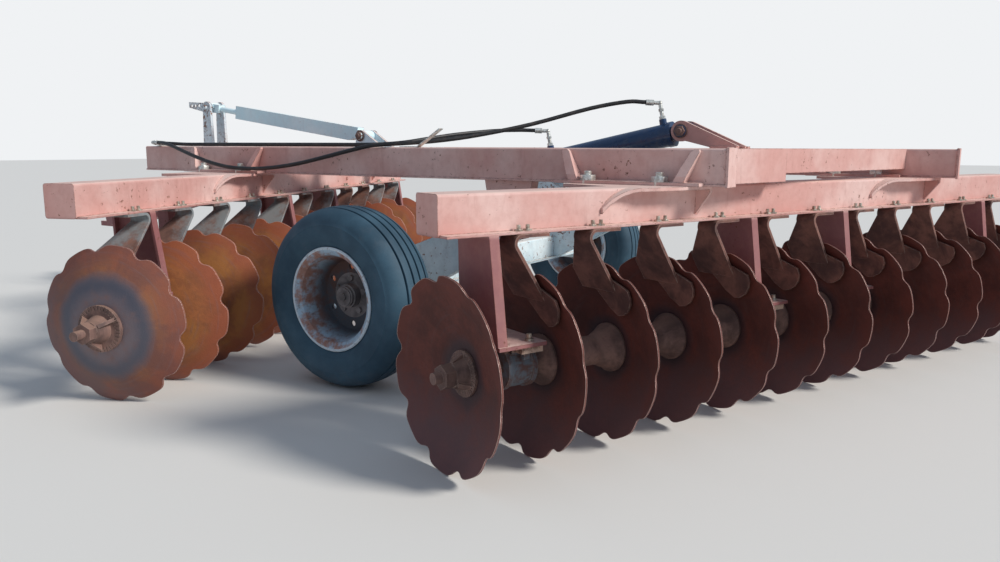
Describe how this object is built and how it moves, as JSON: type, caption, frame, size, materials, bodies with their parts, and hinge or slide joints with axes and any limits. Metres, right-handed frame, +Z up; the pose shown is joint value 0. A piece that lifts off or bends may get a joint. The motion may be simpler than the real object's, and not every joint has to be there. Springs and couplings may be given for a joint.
{
  "type": "disc harrow",
  "caption": "Towed offset disc harrow: two angled gangs of scalloped discs under a box-beam frame, with a wheel frame raised by a hydraulic cylinder and a hinged drawbar.",
  "frame": {"origin": "middle of the footprint on the ground", "axes": "+X to the right of travel, +Y along the drawbar the way it is towed, +Z up"},
  "size_m": [4.1156, 6.8142, 1.468],
  "materials": {
    "frame_paint": "chalky",
    "disc_steel": "rusted",
    "cast_parts": "rusted",
    "zinc_bolts": "dull",
    "pale_paint": "worn",
    "navy_paint": "gloss",
    "rod_chrome": "polished",
    "hose_rubber": "matt",
    "tyre_rubber": "worn"
  },
  "bodies": {
    "frame": {"main_beam_left": "frame_paint", "main_beam_right": "frame_paint", "cross_member_rear": "frame_paint", "cross_member_mid": "frame_paint", "cross_member_front": "frame_paint", "gang_beam_rear": "frame_paint", "gang_beam_front": "frame_paint", "gang_clamps": "frame_paint", "clamp_bolts": "zinc_bolts", "standards_rear": "frame_paint", "standards_front": "frame_paint", "bearings_rear": "cast_parts", "bearings_front": "cast_parts", "bearing_bolts": "zinc_bolts", "scrapers_rear": "cast_parts", "scrapers_front": "cast_parts", "scraper_bolts": "zinc_bolts", "cylinder_lugs": "frame_paint", "axle_hangers": "frame_paint", "stay_lugs": "frame_paint", "hose_clips": "zinc_bolts", "hose_feed": "hose_rubber", "hose_return": "hose_rubber"},
    "rear_rotor": {"discs_rear": "disc_steel", "spools_rear": "cast_parts", "gang_shaft_rear": "cast_parts"},
    "front_rotor": {"discs_front": "disc_steel", "spools_front": "cast_parts", "gang_shaft_front": "cast_parts"},
    "axle": {"wheel_frame": "pale_paint", "crank_plates": "pale_paint"},
    "wheel_left": {"tyre_left": "tyre_rubber", "rim_left": "cast_parts", "hub_left": "cast_parts"},
    "wheel_right": {"tyre_right": "tyre_rubber", "rim_right": "cast_parts", "hub_right": "cast_parts"},
    "barrel": {"cylinder_barrel": "navy_paint", "cylinder_ports": "zinc_bolts"},
    "rod": {"cylinder_rod": "rod_chrome"},
    "drawbar": {"drawbar": "frame_paint", "drawbar_mast": "pale_paint"},
    "stay_outer": {"stay_tube": "pale_paint"},
    "stay_inner": {"stay_rod": "rod_chrome"}
  },
  "joints": [
    {"name": "rear_gang_spin", "type": "hinge", "parent": "frame", "child": "rear_rotor", "pos_m": [-1.583, -1.663, 0.3555], "axis": [0.9225, -0.3859, 0], "continuous": true},
    {"name": "front_gang_spin", "type": "hinge", "parent": "frame", "child": "front_rotor", "pos_m": [-1.89, 0.072, 0.3555], "axis": [0.9367, 0.3502, 0], "continuous": true},
    {"name": "wheel_lift", "type": "hinge", "parent": "frame", "child": "axle", "pos_m": [0.217, -1.243, 0.78], "axis": [1, 0, 0], "range_deg": [-24, 12]},
    {"name": "left_wheel_spin", "type": "hinge", "parent": "axle", "child": "wheel_left", "pos_m": [-1.0215, -0.578, 0.434], "axis": [1, 0, 0], "continuous": true},
    {"name": "right_wheel_spin", "type": "hinge", "parent": "axle", "child": "wheel_right", "pos_m": [1.4565, -0.578, 0.434], "axis": [1, 0, 0], "continuous": true},
    {"name": "cylinder_swing", "type": "hinge", "parent": "frame", "child": "barrel", "pos_m": [0.217, -1.779, 1.226], "axis": [1, 0, 0], "range_deg": [-10.09, 5.15]},
    {"name": "cylinder_stroke", "type": "slide", "parent": "barrel", "child": "rod", "axis": [0, 0.9789, -0.2043], "range_m": [-0.0647, 0.1273]},
    {"name": "drawbar_pitch", "type": "hinge", "parent": "frame", "child": "drawbar", "pos_m": [0.217, 1.572, 0.9], "axis": [1, 0, 0], "range_deg": [-6, 8]},
    {"name": "stay_swing", "type": "hinge", "parent": "frame", "child": "stay_outer", "pos_m": [0.217, 0.392, 1.211], "axis": [1, 0, 0], "range_deg": [-1.79, 2.31]},
    {"name": "stay_slide", "type": "slide", "parent": "stay_outer", "child": "stay_inner", "axis": [0, 0.9903, 0.1388], "range_m": [-0.0686, 0.0519]}
  ],
  "couplings": [
    {"joint": "cylinder_swing", "follows": "wheel_lift", "ratio": 0.41212},
    {"joint": "cylinder_stroke", "follows": "wheel_lift", "m_per_rad": -0.29919},
    {"joint": "stay_swing", "follows": "drawbar_pitch", "ratio": 0.2642},
    {"joint": "stay_slide", "follows": "drawbar_pitch", "m_per_rad": -0.47671}
  ]
}
